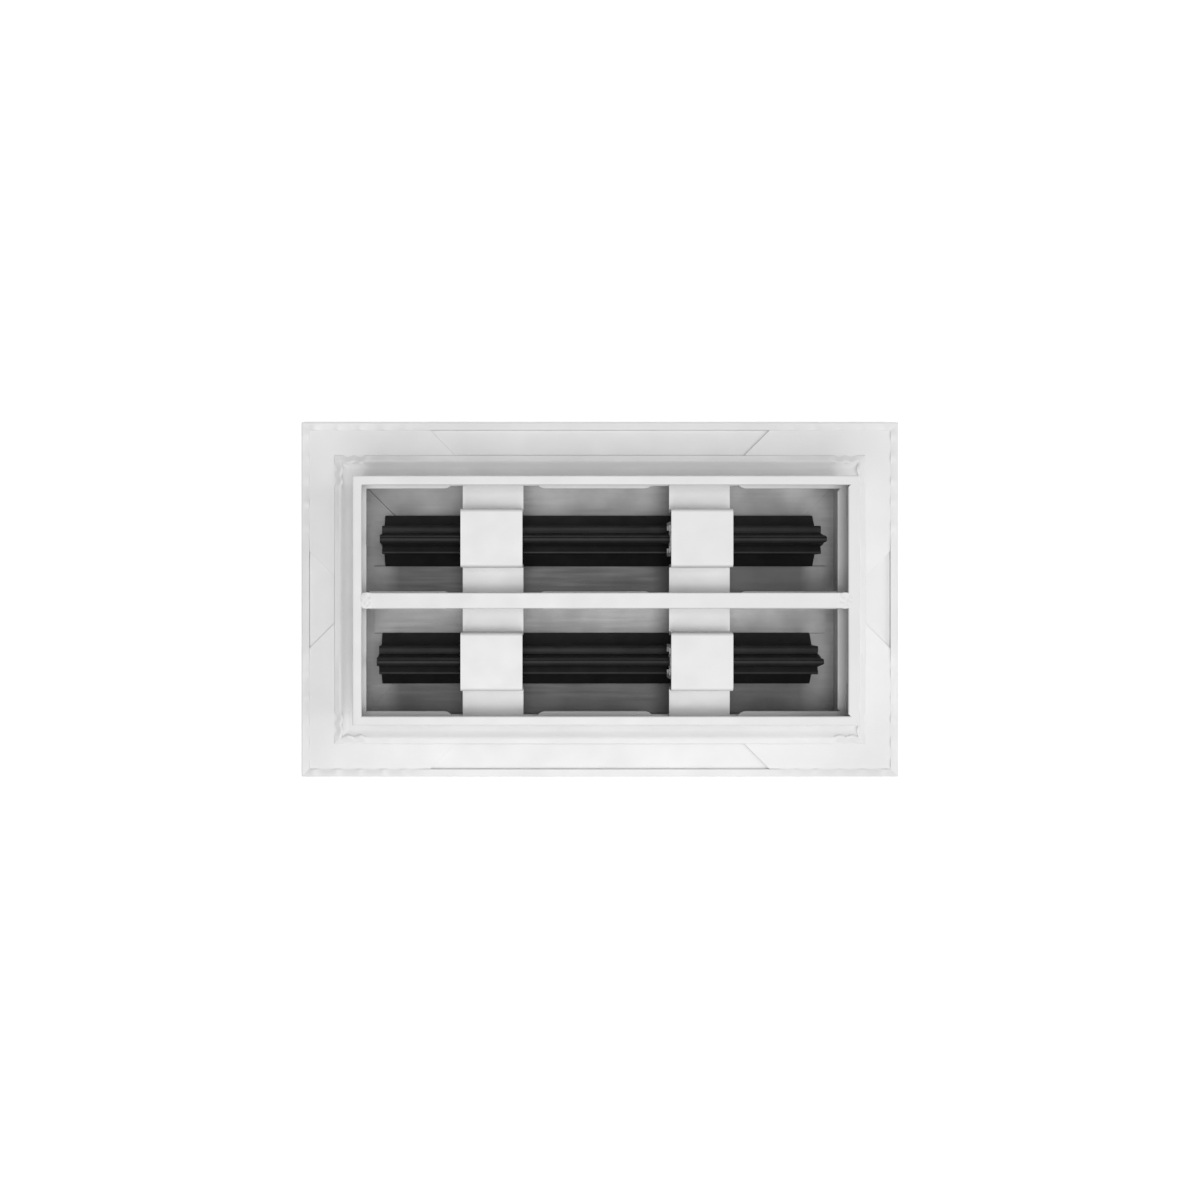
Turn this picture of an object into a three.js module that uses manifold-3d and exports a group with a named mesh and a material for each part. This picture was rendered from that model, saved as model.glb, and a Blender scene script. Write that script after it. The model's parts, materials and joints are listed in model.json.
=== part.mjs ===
// Two-slot linear air diffuser: a mitred aluminium frame with a flange and a neck, a divider bar between
// the slots, flat corner keys in the flange, angle keys in the neck, holders across each slot, and in each
// slot a pair of deflector blades that share one hinge line.
// Millimetres. +Z points into the duct, the room face lies in z = 0, and the origin is the middle of it.

import * as THREE from "three";
import { mergeVertices } from "three/addons/utils/BufferGeometryUtils.js";
import Module from "manifold-3d";

const wasm = await Module();
wasm.setup();

// Overall sizes
const FACE_LENGTH = 250;
const FACE_WIDTH = 148.5;
const FLANGE = 25;
const DEPTH = 38;

// Clearances
const GAP = 0.3; // between pieces that meet
const KEY_PLAY = 0.2; // round a corner key in its channel
const HINGE_PLAY = 0.25; // between the bead and its socket
const SWING_PLAY = 0.12; // between a swung-in neck and the slot's middle plane

// Frame section, reaches measured inwards
const FACE_SHEET = 1.4;
const EDGE_WALL = 1.2;
const EDGE_HEIGHT = 4.4;
const HOOK_THICK = 0.9;
const OUTER_HOOK = 3.3;
const CHANNEL_OPENING = 10.4;
const INNER_HOOK = 2.1;
const INNER_HOOK_WALL = 1.2;
const NECK_WALL = 1.3;
const RIM_REACH = 3.7;
const RIM_THICK = 1.3;
const LEDGE_REACH = 3.3;
const LEDGE_THICK = 1.2;
const LEDGE_TOP = 23.8;
const STEP_REACH = 1.6;
const STEP_THICK = 1.4;
const LIP_REACH = 13.05;

// Divider section
const WEB_THICK = 1.4;
const BAR_WIDTH = 6.3;
const DIVIDER_LIP = 14.2;
const DIVIDER_LIP_THICK = 1.4;

// Notches milled in the ledges, and how far each holder sits from the middle of its notch
const NOTCH_WIDTH = 32;
const NOTCH_DEPTH_IN_STEP = 0.4;
const LEDGE_CORNER_RADIUS = 5;
const NOTCH_FROM_LEFT = 56;
const NOTCH_FROM_RIGHT = 62.9;
const HOLDER_DRIFT = [-1.2, 1.5];

// Corner keys
const FLANGE_KEY_THICK = 1.6;
const FLANGE_KEY_LEG = 50.7;
const NECK_KEY_THICK = 1.5;
const NECK_KEY_LEG = 14;

// Holders
const HOLDER_WIDTH = 24.8;
const HOLDER_SHEET = 1.2;
const BLOCK_WIDTH = 22.8;
const BLOCK_RISE = 11.8;
const LEG_SPREAD = 12.4;
const FOOT_REACH = 2;
const FOOT_DROP = 2.3;
const CLAW_THICK = 1;
const CLAW_OPENING = 90;

// Blades
const BLADE_THICK = 1.1;
const NECK_THICK = 0.8;
const BEAD_RADIUS = 0.85;
const SOCKET_WALL = 0.65;
const HINGE_DROP = 7.1; // from the top of the holder to the hinge line
const SWING_ANGLE = 11;
const SHOULDER_REACH = 5.2;
const WEB_HEIGHT = 11.15;
const WING_RISE = 4.3;
const WING_LAP = 0.25;
const BLADE_OVERRUN = 3.75;
const BLADE_DRIFT = [-0.5, -1.7];
const ARC_STEPS = 10;

const frameSheen = { color: 0xe9e9e8, roughness: 0.45, metalness: 0 };
const keySheen = { color: 0xe4e4e3, roughness: 0.5, metalness: 0 };
const holderSheen = { color: 0xededec, roughness: 0.4, metalness: 0 };
const bladeSheen = { color: 0x1c1c1d, roughness: 0.42, metalness: 0 };

// Places that follow from the sizes above
const neckHalfWidth = FACE_WIDTH / 2 - FLANGE;
const neckHalfLength = FACE_LENGTH / 2 - FLANGE;
const wallInside = FLANGE + NECK_WALL;
const lipEdge = wallInside + LIP_REACH;
const ledgeBottom = LEDGE_TOP - LEDGE_THICK;
const stepBottom = ledgeBottom - STEP_THICK;
const seatTop = ledgeBottom - NOTCH_DEPTH_IN_STEP;
const rimBottom = DEPTH - RIM_THICK;
const webFace = WEB_THICK / 2;
const slotWidth = FACE_WIDTH / 2 - lipEdge - DIVIDER_LIP;
const slotMiddle = DIVIDER_LIP + slotWidth / 2;
const slotLength = FACE_LENGTH - 2 * lipEdge;
const dividerLipBottom = FACE_SHEET + GAP;
const dividerLipTop = dividerLipBottom + DIVIDER_LIP_THICK;
const notchX = [-neckHalfLength + NOTCH_FROM_LEFT, neckHalfLength - NOTCH_FROM_RIGHT];
const armMiddle = seatTop + GAP + HOLDER_SHEET / 2;
const blockMiddle = armMiddle + BLOCK_RISE;
const hingeZ = blockMiddle + HOLDER_SHEET / 2 - HINGE_DROP;
const footMiddle = armMiddle - FOOT_DROP;
const socketInside = BEAD_RADIUS + HINGE_PLAY;
const socketOutside = socketInside + SOCKET_WALL;
const clawInside = socketOutside + GAP;

const radians = THREE.MathUtils.degToRad;

// A closed three.js geometry as a manifold solid
function solid(geometry) {
  geometry.deleteAttribute("normal");
  geometry.deleteAttribute("uv");
  const merged = mergeVertices(geometry, 1e-4);
  return new wasm.Manifold(
    new wasm.Mesh({
      numProp: 3,
      vertProperties: Float32Array.from(merged.getAttribute("position").array),
      triVerts: Uint32Array.from(merged.getIndex().array),
    }),
  );
}

function extrusion(shape, depth) {
  return new THREE.ExtrudeGeometry(shape, { depth, steps: 1, bevelEnabled: false, curveSegments: ARC_STEPS });
}

function outline(points) {
  return new THREE.Shape(points.map(([across, up]) => new THREE.Vector2(across, up)));
}

// A section in the Y-Z plane run along X, centred on x = 0
function barAlongX(shape, length) {
  const alongX = new THREE.Matrix4().makeBasis(
    new THREE.Vector3(0, 1, 0),
    new THREE.Vector3(0, 0, 1),
    new THREE.Vector3(1, 0, 0),
  );
  return extrusion(shape, length).applyMatrix4(alongX).translate(-length / 2, 0, 0);
}

// A flat plate drawn in the X-Y plane between two heights
function plate(shape, bottom, top) {
  return extrusion(shape, top - bottom).translate(0, 0, bottom);
}

// The section of a sheet of even thickness that follows a bent centre line
function sheetAlong(path, thickness) {
  const points = path.map(([across, up]) => new THREE.Vector2(across, up));
  const left = [];
  const right = [];
  points.forEach((point, i) => {
    const before = point.clone().sub(points[Math.max(i - 1, 0)]).normalize();
    const after = points[Math.min(i + 1, points.length - 1)].clone().sub(point).normalize();
    const along = before.add(after).normalize();
    const next = i < points.length - 1 ? after : along;
    const across = new THREE.Vector2(-along.y, along.x);
    const stretch = thickness / 2 / Math.abs(along.dot(next));
    left.push(point.clone().addScaledVector(across, stretch));
    right.unshift(point.clone().addScaledVector(across, -stretch));
  });
  return new THREE.Shape([...left, ...right]);
}

// Part of a ring; angles in degrees from straight down, turning towards +Y
function ringSection(inside, outside, fromAngle, toAngle) {
  const from = radians(fromAngle - 90);
  const to = radians(toAngle - 90);
  const shape = new THREE.Shape();
  shape.absarc(0, 0, outside, from, to, false);
  shape.absarc(0, 0, inside, to, from, true);
  return shape;
}

function makeMesh(name, body, sheen) {
  let geometry = body;
  if (!body.isBufferGeometry) {
    const { vertProperties, triVerts } = body.getMesh();
    geometry = new THREE.BufferGeometry();
    geometry.setAttribute("position", new THREE.BufferAttribute(vertProperties, 3));
    geometry.setIndex(new THREE.BufferAttribute(triVerts, 1));
  }
  geometry.computeVertexNormals();
  const mesh = new THREE.Mesh(geometry, new THREE.MeshStandardMaterial(sheen));
  mesh.name = name;
  return mesh;
}

// What the cutter takes off a ledge round a holder: open to the slot, with rounded ledge corners beside it.
// Drawn with the wall along y = 0 and the ledge towards +Y.
function notchCutter() {
  const half = NOTCH_WIDTH / 2;
  const centre = half + LEDGE_CORNER_RADIUS;
  const below = LEDGE_REACH - LEDGE_CORNER_RADIUS;
  const wallAngle = Math.asin(-below / LEDGE_CORNER_RADIUS);
  const shape = new THREE.Shape();
  shape.absarc(centre, below, LEDGE_CORNER_RADIUS, Math.PI - wallAngle, Math.PI / 2, true);
  shape.lineTo(centre, LEDGE_REACH + 1);
  shape.lineTo(-centre, LEDGE_REACH + 1);
  shape.absarc(-centre, below, LEDGE_CORNER_RADIUS, Math.PI / 2, wallAngle, true);
  return plate(shape, seatTop, LEDGE_TOP + 1);
}

// One side of the frame, lying along the -Y edge of a face of the given width and mitred at both ends
function frameSide(length, width, notches) {
  const stepReach = wallInside + STEP_REACH;
  const ledgeReach = wallInside + LEDGE_REACH;
  const hookBottom = EDGE_HEIGHT - HOOK_THICK;
  const innerHook = OUTER_HOOK + CHANNEL_OPENING;
  const innerWall = innerHook + INNER_HOOK;
  const section = outline([
    [0, 0],
    [lipEdge, 0],
    [lipEdge, FACE_SHEET],
    [wallInside, FACE_SHEET],
    [wallInside, stepBottom],
    [stepReach, stepBottom],
    [stepReach, ledgeBottom],
    [ledgeReach, ledgeBottom],
    [ledgeReach, LEDGE_TOP],
    [wallInside, LEDGE_TOP],
    [wallInside, rimBottom],
    [FLANGE + RIM_REACH, rimBottom],
    [FLANGE + RIM_REACH, DEPTH],
    [FLANGE, DEPTH],
    [FLANGE, FACE_SHEET],
    [innerWall + INNER_HOOK_WALL, FACE_SHEET],
    [innerWall + INNER_HOOK_WALL, EDGE_HEIGHT],
    [innerHook, EDGE_HEIGHT],
    [innerHook, hookBottom],
    [innerWall, hookBottom],
    [innerWall, FACE_SHEET],
    [EDGE_WALL, FACE_SHEET],
    [EDGE_WALL, hookBottom],
    [OUTER_HOOK, hookBottom],
    [OUTER_HOOK, EDGE_HEIGHT],
    [0, EDGE_HEIGHT],
  ]);
  const bar = barAlongX(section, length);
  const position = bar.getAttribute("position");
  const setBack = GAP / Math.SQRT2;
  for (let i = 0; i < position.count; i += 1) {
    const end = length / 2 - position.getY(i) - setBack;
    position.setX(i, Math.sign(position.getX(i)) * end);
  }
  let side = solid(bar.translate(0, -width / 2, 0));
  for (const x of notches) {
    side = side.subtract(solid(notchCutter().translate(x, wallInside - width / 2, 0)));
  }
  return side;
}

function divider() {
  const ledge = webFace + LEDGE_REACH;
  const step = webFace + STEP_REACH;
  const half = [
    [DIVIDER_LIP, dividerLipBottom],
    [DIVIDER_LIP, dividerLipTop],
    [webFace, dividerLipTop],
    [webFace, stepBottom],
    [step, stepBottom],
    [step, ledgeBottom],
    [ledge, ledgeBottom],
    [ledge, LEDGE_TOP],
    [webFace, LEDGE_TOP],
    [webFace, rimBottom],
    [BAR_WIDTH / 2, rimBottom],
    [BAR_WIDTH / 2, DEPTH],
  ];
  const mirrored = half.map(([across, up]) => [-across, up]).reverse();
  const underLedges = FACE_LENGTH - 2 * (wallInside + LEDGE_REACH + GAP);
  const underRims = FACE_LENGTH - 2 * (FLANGE + RIM_REACH + GAP);
  let bar = solid(barAlongX(outline([...half, ...mirrored]), underLedges));
  bar = bar.add(solid(new THREE.BoxGeometry(underRims, BAR_WIDTH, RIM_THICK).translate(0, 0, DEPTH - RIM_THICK / 2)));
  for (const x of notchX) {
    bar = bar.subtract(solid(notchCutter().translate(x, webFace, 0)));
    bar = bar.subtract(solid(notchCutter().rotateZ(Math.PI).translate(x, -webFace, 0)));
  }
  return bar;
}

// Flat L plate with 45 degree ends, drawn for the corner at -X -Y with that corner at the origin
function flangeKey() {
  const near = EDGE_WALL + KEY_PLAY;
  const far = OUTER_HOOK + CHANNEL_OPENING + INNER_HOOK - KEY_PLAY;
  const shape = outline([
    [near, near],
    [FLANGE_KEY_LEG + near, near],
    [FLANGE_KEY_LEG + far, far],
    [far, far],
    [far, FLANGE_KEY_LEG + far],
    [near, FLANGE_KEY_LEG + near],
  ]);
  const bottom = FACE_SHEET + KEY_PLAY;
  return plate(shape, bottom, bottom + FLANGE_KEY_THICK);
}

// Upright L strip in the groove between the ledge and the rim, drawn for the same corner
function neckKey() {
  const near = wallInside + GAP;
  const far = near + NECK_KEY_THICK;
  const shape = outline([
    [near, near],
    [near + NECK_KEY_LEG, near],
    [near + NECK_KEY_LEG, far],
    [far, far],
    [far, near + NECK_KEY_LEG],
    [near, near + NECK_KEY_LEG],
  ]);
  return plate(shape, LEDGE_TOP + GAP, rimBottom - GAP);
}

// Section of a holder about its slot's middle plane; its arms reach from one ledge seat to the other
function holder(lowArm, highArm) {
  const wall = BLOCK_WIDTH / 2 - HOLDER_SHEET / 2;
  const leg = LEG_SPREAD / 2;
  const hat = sheetAlong(
    [
      [lowArm, armMiddle],
      [-wall, armMiddle],
      [-wall, blockMiddle],
      [wall, blockMiddle],
      [wall, armMiddle],
      [highArm, armMiddle],
    ],
    HOLDER_SHEET,
  );
  let body = solid(barAlongX(hat, HOLDER_WIDTH));
  const ring = ringSection(clawInside, clawInside + CLAW_THICK, CLAW_OPENING / 2, 360 - CLAW_OPENING / 2);
  body = body.add(solid(barAlongX(ring, HOLDER_WIDTH).translate(0, 0, hingeZ)));
  for (const side of [-1, 1]) {
    const footed = sheetAlong(
      [
        [side * leg, blockMiddle],
        [side * leg, footMiddle],
        [side * (leg - HOLDER_SHEET / 2 - FOOT_REACH), footMiddle],
      ],
      HOLDER_SHEET,
    );
    const brace = sheetAlong(
      [
        [side * leg, hingeZ],
        [side * (clawInside + CLAW_THICK / 2), hingeZ],
      ],
      CLAW_THICK,
    );
    body = body.add(solid(barAlongX(footed, HOLDER_WIDTH)));
    body = body.add(solid(barAlongX(brace, HOLDER_WIDTH)));
  }
  return body;
}

// How far a neck's centre line stands off the slot's middle plane at a depth below the hinge line
function neckOffset(depth) {
  const slope = Math.tan(radians(SWING_ANGLE));
  return SWING_PLAY + NECK_THICK / 2 / Math.cos(radians(SWING_ANGLE)) + slope * depth;
}

// One deflector blade about its hinge line; side is +1 for the blade with the bead, -1 for the socket
function blade(side) {
  const shoulder = footMiddle - HOLDER_SHEET / 2 - GAP - BLADE_THICK / 2 - hingeZ;
  const webFoot = shoulder - WEB_HEIGHT;
  const wingBottom = dividerLipTop + GAP - hingeZ;
  const wingRun = slotWidth / 2 + WING_LAP - SHOULDER_REACH;
  const wingAngle = Math.atan2(WING_RISE, wingRun);
  const tipAcross = slotWidth / 2 + WING_LAP - (BLADE_THICK / 2) * Math.sin(wingAngle);
  const tipUp = wingBottom + (BLADE_THICK / 2) * Math.cos(wingAngle);
  const neckStart = side > 0 ? BEAD_RADIUS / 2 : socketInside + SOCKET_WALL / 3;
  const neckEnd = BLADE_THICK / 4 - shoulder;
  const neckFoot = neckOffset(BLADE_THICK / 2 - shoulder) - NECK_THICK / 2;
  const length = slotLength + 2 * BLADE_OVERRUN;
  const neck = sheetAlong(
    [
      [side * neckOffset(neckStart), -neckStart],
      [side * neckOffset(neckEnd), -neckEnd],
    ],
    NECK_THICK,
  );
  const wing = sheetAlong(
    [
      [side * neckFoot, shoulder],
      [side * SHOULDER_REACH, shoulder],
      [side * SHOULDER_REACH, webFoot],
      [side * tipAcross, tipUp],
    ],
    BLADE_THICK,
  );
  const bead = new THREE.Shape().absarc(0, 0, BEAD_RADIUS, 0, 2 * Math.PI, false);
  const socket = ringSection(socketInside, socketOutside, 76, 348);
  const hinge = side > 0 ? bead : socket;
  return [neck, wing, hinge]
    .map((section) => solid(barAlongX(section, length)))
    .reduce((whole, piece) => whole.add(piece));
}

const diffuser = new THREE.Group();

// Frame sides: each is drawn at the -Y edge and turned to its own edge
const sides = [
  ["frame_front", FACE_LENGTH, FACE_WIDTH, notchX, 0],
  ["frame_right", FACE_WIDTH, FACE_LENGTH, [], 90],
  ["frame_rear", FACE_LENGTH, FACE_WIDTH, notchX.map((x) => -x), 180],
  ["frame_left", FACE_WIDTH, FACE_LENGTH, [], 270],
];
for (const [name, length, width, notches, turn] of sides) {
  const side = makeMesh(name, frameSide(length, width, notches), frameSheen);
  side.rotation.z = radians(turn);
  diffuser.add(side);
}

diffuser.add(makeMesh("divider_bar", divider(), frameSheen));

// Corner keys: each is drawn for the -X -Y corner and turned to its own corner
const corners = [
  ["front_left", -1, -1, 0],
  ["front_right", 1, -1, 90],
  ["rear_right", 1, 1, 180],
  ["rear_left", -1, 1, 270],
];
for (const [name, alongX, alongY, turn] of corners) {
  const corner = new THREE.Group();
  corner.position.set((alongX * FACE_LENGTH) / 2, (alongY * FACE_WIDTH) / 2, 0);
  corner.rotation.z = radians(turn);
  corner.add(makeMesh(`flange_key_${name}`, flangeKey(), keySheen));
  corner.add(makeMesh(`neck_key_${name}`, neckKey(), keySheen));
  diffuser.add(corner);
}

// Slots: two holders and a hinged pair of blades in each
const wallEnd = neckHalfWidth - NECK_WALL - GAP;
const webEnd = webFace + GAP;
const slots = [
  ["front", -slotMiddle, -wallEnd, -webEnd, BLADE_DRIFT[1]],
  ["rear", slotMiddle, webEnd, wallEnd, BLADE_DRIFT[0]],
];
for (const [name, middle, lowArm, highArm, drift] of slots) {
  const slot = new THREE.Group();
  slot.position.y = middle;
  ["left", "right"].forEach((end, i) => {
    const bracket = makeMesh(`holder_${name}_${end}`, holder(lowArm - middle, highArm - middle), holderSheen);
    bracket.position.x = notchX[i] + HOLDER_DRIFT[i];
    slot.add(bracket);
  });
  const beadBlade = makeMesh(`bead_blade_${name}`, blade(1), bladeSheen);
  const socketBlade = makeMesh(`socket_blade_${name}`, blade(-1), bladeSheen);
  for (const piece of [beadBlade, socketBlade]) {
    piece.position.set(drift, 0, hingeZ);
    slot.add(piece);
  }
  diffuser.add(slot);
}

export default diffuser;
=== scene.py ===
import json
import math
import random

import bmesh
import bpy
from mathutils import Matrix, Vector, noise


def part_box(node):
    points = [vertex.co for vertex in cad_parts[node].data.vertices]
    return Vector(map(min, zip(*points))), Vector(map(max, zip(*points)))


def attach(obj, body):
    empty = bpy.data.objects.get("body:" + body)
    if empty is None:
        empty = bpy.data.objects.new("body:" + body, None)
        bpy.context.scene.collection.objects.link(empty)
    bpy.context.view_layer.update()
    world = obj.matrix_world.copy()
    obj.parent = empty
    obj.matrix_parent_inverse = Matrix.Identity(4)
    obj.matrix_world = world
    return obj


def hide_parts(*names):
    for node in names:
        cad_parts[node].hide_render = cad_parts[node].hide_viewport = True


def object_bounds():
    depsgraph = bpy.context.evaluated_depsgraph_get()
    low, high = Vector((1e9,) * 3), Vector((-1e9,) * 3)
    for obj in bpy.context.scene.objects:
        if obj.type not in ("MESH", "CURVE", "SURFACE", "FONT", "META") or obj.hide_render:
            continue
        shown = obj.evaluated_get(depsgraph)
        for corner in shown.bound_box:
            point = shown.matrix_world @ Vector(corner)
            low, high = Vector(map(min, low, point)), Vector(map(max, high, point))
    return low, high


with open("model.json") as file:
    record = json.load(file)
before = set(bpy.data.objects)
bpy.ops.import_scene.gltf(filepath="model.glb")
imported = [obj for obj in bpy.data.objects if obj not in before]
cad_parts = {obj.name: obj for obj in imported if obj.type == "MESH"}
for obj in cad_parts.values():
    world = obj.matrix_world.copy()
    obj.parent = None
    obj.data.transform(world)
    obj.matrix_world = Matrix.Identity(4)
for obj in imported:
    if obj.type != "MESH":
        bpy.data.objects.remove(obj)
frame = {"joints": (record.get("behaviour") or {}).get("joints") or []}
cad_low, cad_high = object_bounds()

MM = 0.001
HOUSING = "housing"
random.seed(62)

# ---------------------------------------------------------------- sizes of the sections, in millimetres

FACE_LENGTH = (cad_high.x - cad_low.x) / MM
FACE_WIDTH = (cad_high.y - cad_low.y) / MM
DEPTH = (cad_high.z - cad_low.z) / MM
SLOT_MIDDLE = 24.55
SLOTS = ("front", "rear")
ENDS = ("left", "right")

SOFT_EDGE = 0.25      # a coated edge
CRISP_EDGE = 0.12     # a sawn or punched edge

# the extrusion that the frame's sides are cut from
FLANGE = 25.0
FACE_SHEET = 1.4
EDGE_WALL = 1.2
EDGE_HEIGHT = 4.4
HOOK_THICK = 0.6
CHANNEL_FLOOR = 2.9
OUTER_HOOK = 3.3
CHANNEL_OPENING = 10.4
INNER_HOOK = 2.1
INNER_HOOK_WALL = 1.2
TROUGH = 3.5
RAMP = 2.5
NECK_WALL = 1.3
RIM_THICK = 1.3
LEDGE_THICK = 1.2
LEDGE_TOP = 23.8
STEP_REACH = 1.6
STEP_THICK = 1.4
INSIDE_CORNER = 0.5
WALL_INSIDE = FLANGE + NECK_WALL
HOOK_BOTTOM = EDGE_HEIGHT - HOOK_THICK
CHANNEL_END = OUTER_HOOK + CHANNEL_OPENING
INNER_WALL = CHANNEL_END + INNER_HOOK
RIM_BOTTOM = DEPTH - RIM_THICK
RIM_TOP = DEPTH - 0.2      # the dressed welds stand this much above the rim
LEDGE_BOTTOM = LEDGE_TOP - LEDGE_THICK
STEP_BOTTOM = LEDGE_BOTTOM - STEP_THICK

# the four sides: turn in degrees, ledge and rim reach, and which of its mitres shows as a fine groove
FRAME_SIDES = {
    "front": (0, 3.1, 3.7, 0),
    "right": (90, 4.0, 4.6, 0),
    "rear": (180, 2.85, 3.7, 1),
    "left": (270, 2.8, 3.7, -1),
}
OPEN_MITRE = 0.13
CLOSE_MITRE = 0.02

# how the hooks are pressed over the corner keys, measured along a side from its corner
OUTER_LIFTS = [5.7 + 9.3 * i for i in range(6)]
INNER_LIFTS = [27.0 + 9.7 * i for i in range(4)]
CLOSED_BY = {"outer": 0.58, "inner": 0.3}
LIFT = {"outer": 0.52, "inner": 0.3}
LIFT_FADE = 0.003
HOOK_FLEX = 2.9
HOOK_ROUNDING = 0.31
KEYED_LENGTH = 66
PRESSED_LENGTH = 52.0
PRESS_FADE = 6.0
DROOP_FROM = 54.0
DROOP_TO = 58.0
KEY_TOP = 3.75
KEY_PLAY = 0.02
CORNER_HUMPS = [19.5, 24.6]
HUMP_HALF_LENGTH = 3.0
HUMP_SWELL = 0.8
HUMP_RISE = 0.4

# what is milled off the ledges round the holders
NOTCH_FLOOR = LEDGE_TOP - LEDGE_THICK - 0.4
NOTCH_WIDTH = 32.0
NOTCH_OFFSETS = {"left": 1.2, "right": -1.5}
NOTCH_STEPS = 12
NOTCH_OVERCUT = 1.5
LEDGE_CORNER = 5.0

# the divider bar and the welds at its ends
WEB_THICK = 1.4
BAR_WIDTH = 6.3
BAR_EDGE = 0.5
DIVIDER_LEDGE_REACH = 2.95
DIVIDER_LEDGE_END = 94.6
WELD_PLACE = 94.2
WELD_LENGTH = 6.6
WELD_WIDTH = 6.4
WELD_BORDER = 0.12    # rings of faces, as shares of the weld's half width
WELD_RING = 0.09
WELD_RINGS = 8
WELD_SINK = 0.03
WELD_RISE = 0.23
WELD_DEPTH = 0.6


def box_mm(node):
    """A CAD node's lowest and highest corners in millimetres."""
    low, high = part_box(node)
    return low / MM, high / MM


# ---------------------------------------------------------------- materials


def linear(hex_colour):
    """An sRGB hex colour as linear RGBA."""
    parts = [int(hex_colour[i : i + 2], 16) / 255 for i in (1, 3, 5)]
    return tuple(c / 12.92 if c <= 0.04045 else ((c + 0.055) / 1.055) ** 2.4 for c in parts) + (1.0,)


def per_metre(size_mm):
    """A noise scale whose features are about this many millimetres across."""
    return 1.0 / (size_mm * MM)


def add_node(tree, kind, inputs=None, **settings):
    """Adds a node; inputs maps a socket to a value or to another node's output."""
    made = tree.nodes.new(kind)
    for key, value in settings.items():
        setattr(made, key, value)
    for key, value in (inputs or {}).items():
        if isinstance(value, bpy.types.NodeSocket):
            tree.links.new(value, made.inputs[key])
        else:
            made.inputs[key].default_value = value
    return made


def new_material(name):
    made = bpy.data.materials.new(name)
    made.use_nodes = True
    made.node_tree.nodes.clear()
    return made, made.node_tree


def mottled(tree, place, size_mm, low, high, detail=3.0):
    """Soft noise of a real size, mapped to run from low to high."""
    noise_settings = {"Vector": place, "Scale": per_metre(size_mm), "Detail": detail}
    clouds = add_node(tree, "ShaderNodeTexNoise", noise_settings)
    ends = {"Value": clouds.outputs["Fac"], "From Min": 0.3, "From Max": 0.7, "To Min": low, "To Max": high}
    return add_node(tree, "ShaderNodeMapRange", ends).outputs["Result"]


def clouded_colour(tree, place, size_mm, shade_low, shade_high):
    """A colour that drifts between two shades over a real distance."""
    cloud = mottled(tree, place, size_mm, 0.0, 1.0)
    ends = {"Factor": cloud, 6: linear(shade_low), 7: linear(shade_high)}
    return add_node(tree, "ShaderNodeMix", ends, data_type="RGBA").outputs[2]


def finish_material(tree, colour, roughness, height, strength, depth_mm):
    """The shader and its bump, with colour, roughness and height already drawn."""
    relief = {"Height": height, "Strength": strength, "Distance": depth_mm * MM}
    relief = add_node(tree, "ShaderNodeBump", relief).outputs["Normal"]
    sockets = {"Base Color": colour, "Roughness": roughness, "Normal": relief}
    shader = add_node(tree, "ShaderNodeBsdfPrincipled", sockets)
    add_node(tree, "ShaderNodeOutputMaterial", {"Surface": shader.outputs["BSDF"]})
    return shader


# Polyester powder coat baked on aluminium. It gives the eye a near-white satin skin with soft highlights:
# a fine orange peel breaks them up, and the tone drifts a little where the coat lies thicker.
def powder_coat(name, shade_low, shade_high, roughness, peel_mm=1.1, peel_depth_mm=0.012):
    made, tree = new_material(name)
    place = add_node(tree, "ShaderNodeTexCoord").outputs["Object"]
    colour = clouded_colour(tree, place, 26.0, shade_low, shade_high)
    gloss = mottled(tree, place, 9.0, roughness - 0.05, roughness + 0.06)
    grain = {"Vector": place, "Scale": per_metre(peel_mm), "Detail": 1.5}
    peel = add_node(tree, "ShaderNodeTexNoise", grain)
    shader = finish_material(tree, colour, gloss, peel.outputs["Fac"], 0.35, peel_depth_mm)
    shader.inputs["IOR"].default_value = 1.5
    return made


def lip_spans_with_painted_light(tree, place, streaks):
    """Spans for the lip coat: painted light on each slot's +Y side, painted shade by the blades, paler at
    the bars' ends, brighter towards +X, and the gloss.
    """
    axes = add_node(tree, "ShaderNodeSeparateXYZ", {"Vector": place}).outputs
    slot_side = add_node(tree, "ShaderNodeMath", {0: axes["Y"]}, operation="SIGN").outputs[0]
    from_slot = {0: slot_side, 1: -SLOT_MIDDLE * MM, 2: axes["Y"]}
    past_middle = add_node(tree, "ShaderNodeMath", from_slot, operation="MULTIPLY_ADD").outputs[0]
    reach = add_node(tree, "ShaderNodeMath", {0: past_middle}, operation="ABSOLUTE").outputs[0]
    from_middle = add_node(tree, "ShaderNodeMath", {0: axes["X"]}, operation="ABSOLUTE").outputs[0]
    spans = {      # each: what is measured, where it starts and ends, and what it goes from and to
        # painted light: the +Y half of each slot's lips takes the lit grey
        "painted_lit_side": (past_middle, -0.006, 0.006, 0.0, 1.0),
        # painted shade: darker by the blades, lighter out towards the walls
        "painted_shade_near_blades": (reach, 0.011, 0.022, 0.62, 1.4),
        "at_end": (from_middle, 0.084, 0.097, 0.0, 1.0),
        # brighter towards +X
        "brighter_towards_plus_x": (axes["X"], -0.097, 0.097, 0.88, 1.12),
        "gloss": (streaks, 0.0, 1.0, 0.42, 0.55),
    }
    shares = {}
    for key, span in spans.items():
        ends = dict(zip(("Value", "From Min", "From Max", "To Min", "To Max"), span))
        shares[key] = add_node(tree, "ShaderNodeMapRange", ends).outputs["Result"]
    return shares
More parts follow.
